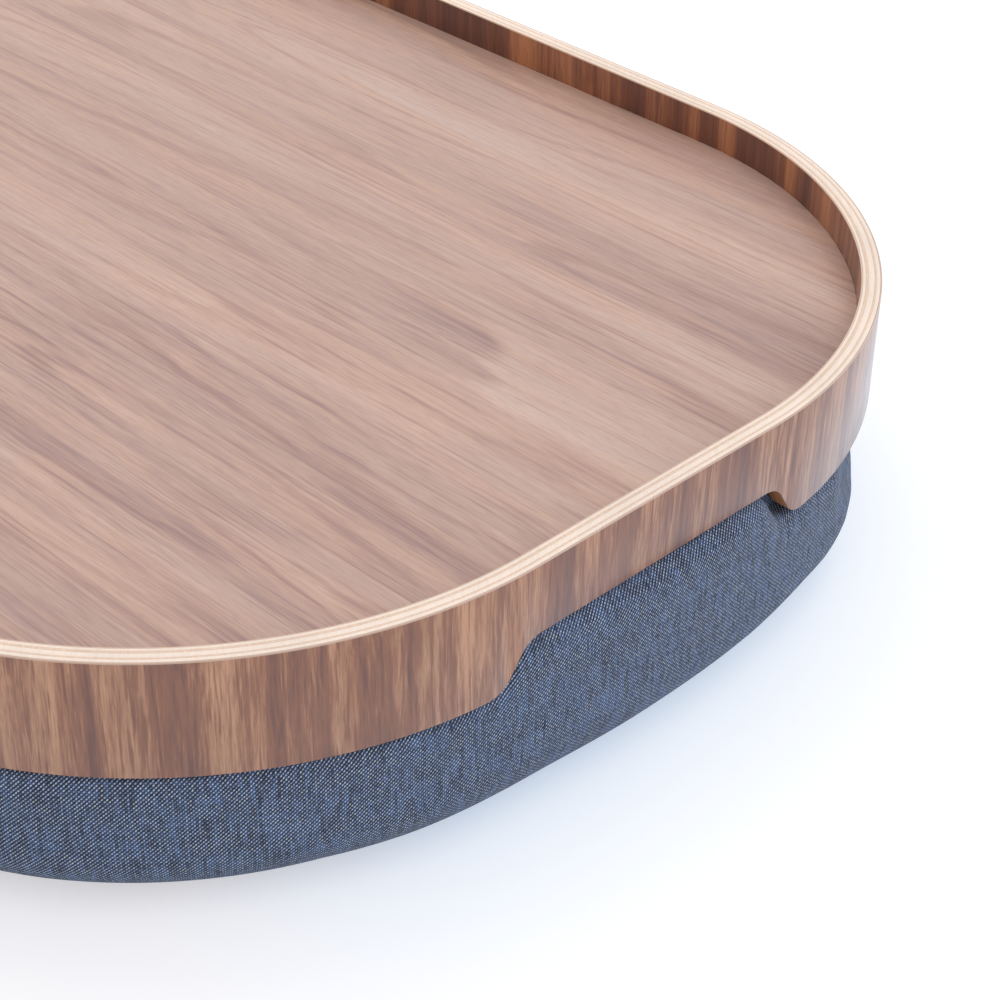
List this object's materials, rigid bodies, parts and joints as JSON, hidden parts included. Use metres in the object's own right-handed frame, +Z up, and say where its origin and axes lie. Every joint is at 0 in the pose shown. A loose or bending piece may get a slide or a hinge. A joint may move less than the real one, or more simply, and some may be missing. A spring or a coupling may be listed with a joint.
{
  "type": "lap tray with cushion",
  "caption": "Oval-cornered laptop tray with a raised bent-ply rim and finger slots, on a lift-off bead-filled cushion with a zipped fabric cover.",
  "frame": {"origin": "middle of the cushion's flat underside, on the surface that the tray stands on", "axes": "+X along the tray's length, +Y to the back where the zip is, +Z up out of the tray"},
  "size_m": [0.5258, 0.3667, 0.078],
  "materials": {
    "walnut_rim": "satin",
    "walnut_wall": "satin",
    "walnut_floor": "satin",
    "walnut_underside": "satin",
    "birch_ply": "satin",
    "birch_cross_ply": "satin",
    "cushion_fabric": "matte",
    "lining_fabric": "matte",
    "liner_cloth": "matte",
    "beads": "matte",
    "hook_tape": "matte",
    "loop_tape": "matte",
    "zip_tape": "matte",
    "zip_teeth": "satin",
    "zip_metal": "satin"
  },
  "bodies": {
    "cushion": {"loop_strips": "loop_tape", "cushion_top_panel": "lining_fabric", "cushion_side_band": "cushion_fabric", "cushion_bottom_panel": "cushion_fabric", "bead_liner_upper": "liner_cloth", "bead_liner_lower": "liner_cloth", "bead_filling": "beads", "zip_tape_upper": "zip_tape", "zip_tape_lower": "zip_tape", "zip_teeth_upper": "zip_teeth", "zip_teeth_lower": "zip_teeth", "zip_stops": "zip_metal"},
    "tray": {"rim_outer_veneer": "walnut_rim", "rim_outer_ply": "birch_ply", "rim_outer_cross_ply": "birch_cross_ply", "rim_core_ply": "birch_ply", "rim_inner_cross_ply": "birch_cross_ply", "rim_inner_ply": "birch_ply", "rim_inner_veneer": "walnut_wall", "rim_lower_inner_veneer": "walnut_wall", "floor_top_veneer": "walnut_floor", "floor_upper_ply": "birch_ply", "floor_core_ply": "birch_cross_ply", "floor_lower_ply": "birch_ply", "floor_bottom_veneer": "walnut_underside", "hook_strips": "hook_tape"},
    "zip_slider": {"zip_slider": "zip_metal"},
    "zip_pull": {"zip_pull": "zip_metal"}
  },
  "joints": [
    {"name": "tray_lift", "type": "slide", "parent": "cushion", "child": "tray", "axis": [0, 0, 1], "range_m": [0, 0.06]},
    {"name": "zip_slide", "type": "slide", "parent": "cushion", "child": "zip_slider", "axis": [-1, 0, 0], "range_m": [0, 0.168]},
    {"name": "zip_pull_swing", "type": "hinge", "parent": "zip_slider", "child": "zip_pull", "pos_m": [0.084, 0.1843, 0.027], "axis": [0, 0, -1], "range_deg": [0, 180]}
  ]
}
